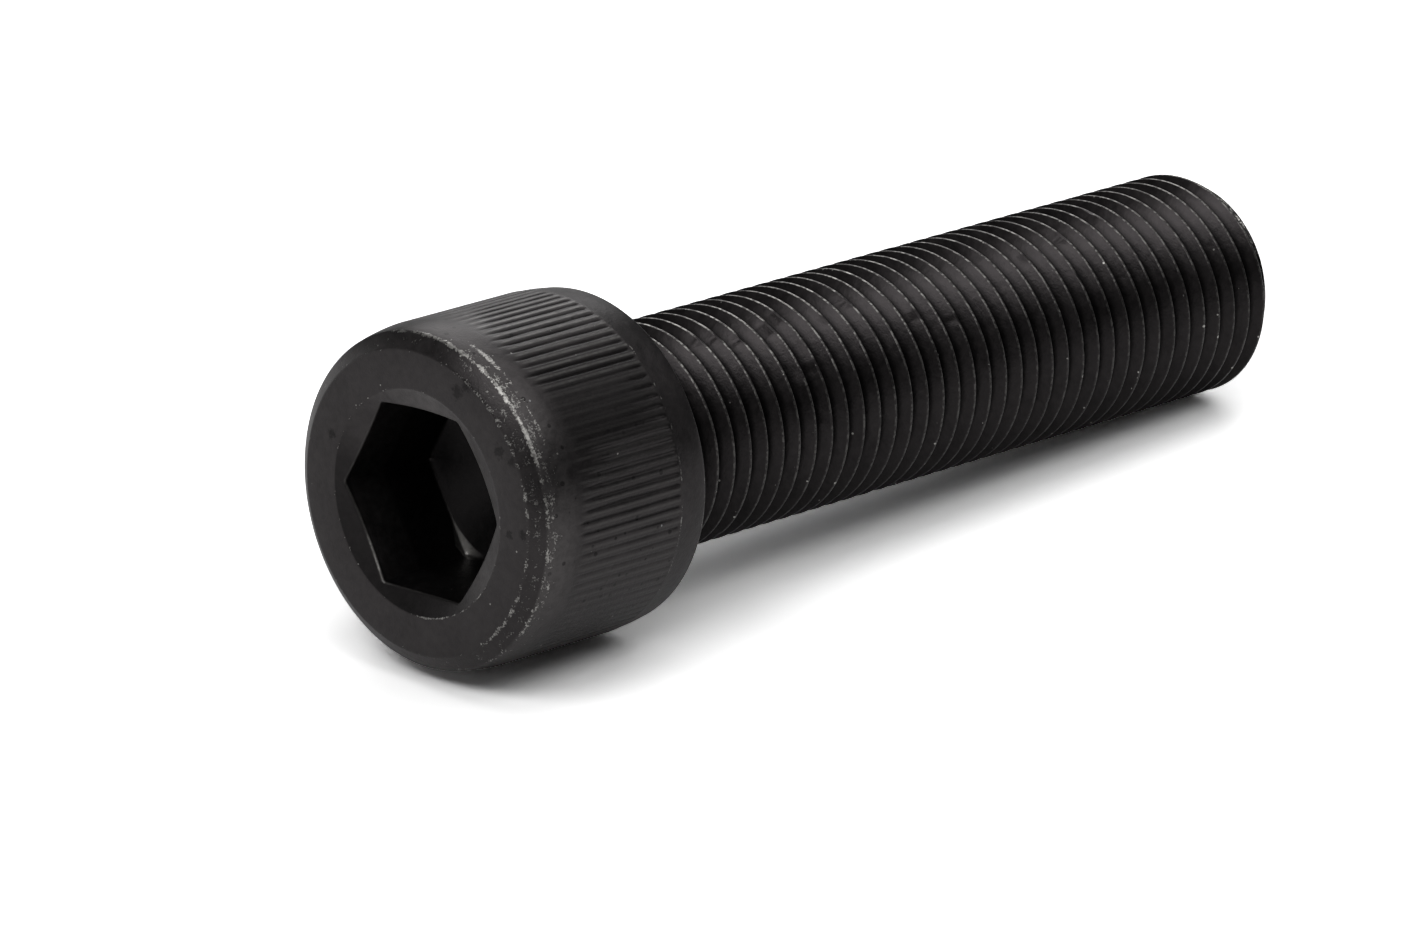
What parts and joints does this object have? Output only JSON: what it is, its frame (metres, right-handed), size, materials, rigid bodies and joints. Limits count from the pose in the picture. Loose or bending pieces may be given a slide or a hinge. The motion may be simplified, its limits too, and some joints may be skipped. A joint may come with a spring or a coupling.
{
  "type": "socket head cap screw",
  "caption": "Cap screw with a knurled cylindrical head, a hexagon socket in its face and a fully threaded shank with a chamfered tip.",
  "frame": {"origin": "centre of the head's face, which is the surface the screw stands on", "axes": "+Z along the screw's axis from the head to the tip, +X through two opposite corners of the hexagon socket"},
  "size_m": [0.0188, 0.0188, 0.062],
  "materials": {
    "black_oxide_steel": "satin black oxide, worn bright along the edges of the head"
  },
  "bodies": {
    "root": {"cap_screw": "black_oxide_steel"}
  },
  "joints": []
}
